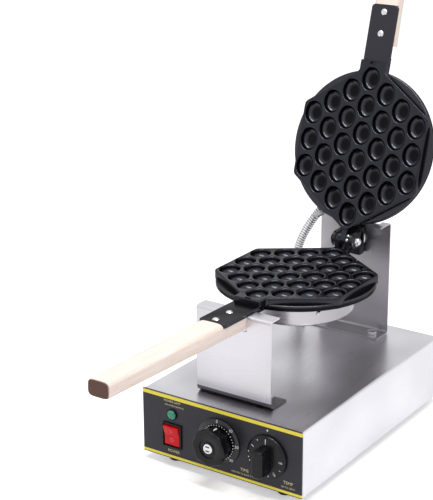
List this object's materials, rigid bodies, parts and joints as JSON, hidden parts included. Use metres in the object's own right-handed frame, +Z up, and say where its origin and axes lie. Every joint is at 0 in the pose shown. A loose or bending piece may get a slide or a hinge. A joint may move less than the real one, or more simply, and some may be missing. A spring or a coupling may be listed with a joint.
{
  "type": "bubble waffle maker",
  "caption": "Countertop iron for bubble waffles: two hinged hexagonal moulds with round cavities and wooden handles, on a swivel over a stainless base with timer and thermostat",
  "frame": {"origin": "on the table, under the middle of the part's footprint, with the iron open as in the picture", "axes": "X to the user's right, Y from the handle end to the hinge end, Z up"},
  "size_m": [0.22, 0.6596, 0.6925],
  "materials": {
    "brushed_steel": "brushed stainless sheet",
    "bright_zinc": "bright plated steel",
    "cast_black": "cast aluminium with a black non-stick coat",
    "black_steel": "satin black enamel",
    "beech": "plain sanded beech",
    "black_plastic": "satin moulded plastic",
    "panel_film": "screen-printed black panel with yellow lines",
    "red_plastic": "translucent red moulding",
    "green_lens": "green lamp lens",
    "rubber": "matt black rubber",
    "pale_plastic": "white moulded plastic",
    "heater_sheath": "oxidised heater sheath"
  },
  "bodies": {
    "root": {"base_shell": "brushed_steel", "bottom_plate": "brushed_steel", "front_rest": "brushed_steel", "rear_bracket": "brushed_steel", "front_rest_bolt_left": "bright_zinc", "front_rest_bolt_right": "bright_zinc", "rear_bracket_bolt_left": "bright_zinc", "rear_bracket_bolt_right": "bright_zinc", "hinge_nut": "bright_zinc", "hinge_pin": "bright_zinc", "lower_conduit": "bright_zinc", "lower_conduit_gland": "bright_zinc", "swivel_bush": "bright_zinc", "swivel_nut": "bright_zinc", "upper_conduit": "bright_zinc", "upper_conduit_gland": "bright_zinc", "swivel_yoke": "black_steel", "mains_cord_gland": "black_plastic", "pilot_lamp_body": "black_plastic", "rocker_frame": "black_plastic", "timer_dial": "black_plastic", "control_panel": "panel_film", "pilot_lamp_lens": "green_lens", "foot_front_left": "rubber", "foot_front_right": "rubber", "foot_rear_left": "rubber", "foot_rear_right": "rubber", "terminal_block": "pale_plastic", "thermostat_body": "pale_plastic", "timer_body": "pale_plastic"},
    "lower_half": {"lower_mould": "cast_black", "lower_grip": "beech", "lower_grip_screw_1": "bright_zinc", "lower_grip_screw_2": "bright_zinc", "lower_heater_cover": "brushed_steel", "lower_heating_element": "heater_sheath", "lower_cover_screw_1": "bright_zinc", "lower_cover_screw_2": "bright_zinc", "lower_cover_screw_3": "bright_zinc", "lower_conduit_fitting": "bright_zinc"},
    "upper_half": {"upper_mould": "cast_black", "upper_grip": "beech", "upper_grip_screw_1": "bright_zinc", "upper_grip_screw_2": "bright_zinc", "upper_heater_cover": "brushed_steel", "upper_heating_element": "heater_sheath", "upper_cover_screw_1": "bright_zinc", "upper_cover_screw_2": "bright_zinc", "upper_cover_screw_3": "bright_zinc", "upper_conduit_fitting": "bright_zinc"},
    "rocker": {"rocker_button": "red_plastic"},
    "timer_control": {"timer_knob": "black_plastic", "timer_cap": "bright_zinc", "timer_spindle": "bright_zinc"},
    "thermostat_control": {"thermostat_knob": "black_plastic", "thermostat_spindle": "bright_zinc"}
  },
  "joints": [
    {"name": "lower_mould_lift", "type": "hinge", "parent": "root", "child": "lower_half", "pos_m": [0, 0.16787, 0.21665], "axis": [1, 0, 0], "range_deg": [-5, 0], "deforming": ["lower_conduit", "upper_conduit"]},
    {"name": "upper_mould_hinge", "type": "hinge", "parent": "lower_half", "child": "upper_half", "pos_m": [0, 0.16787, 0.21665], "axis": [1, 0, 0], "range_deg": [0, 107.5], "deforming": ["upper_conduit"]},
    {"name": "power_switch", "type": "hinge", "parent": "root", "child": "rocker", "pos_m": [-0.0675, -0.11373, 0.0405], "axis": [1, 0, 0], "range_deg": [-16, 0]},
    {"name": "timer_turn", "type": "hinge", "parent": "root", "child": "timer_control", "pos_m": [-0.001, -0.11373, 0.051], "axis": [0, -1, 0], "range_deg": [-300, 0]},
    {"name": "thermostat_turn", "type": "hinge", "parent": "root", "child": "thermostat_control", "pos_m": [0.065, -0.11373, 0.051], "axis": [0, -1, 0], "range_deg": [-270, 0]}
  ]
}
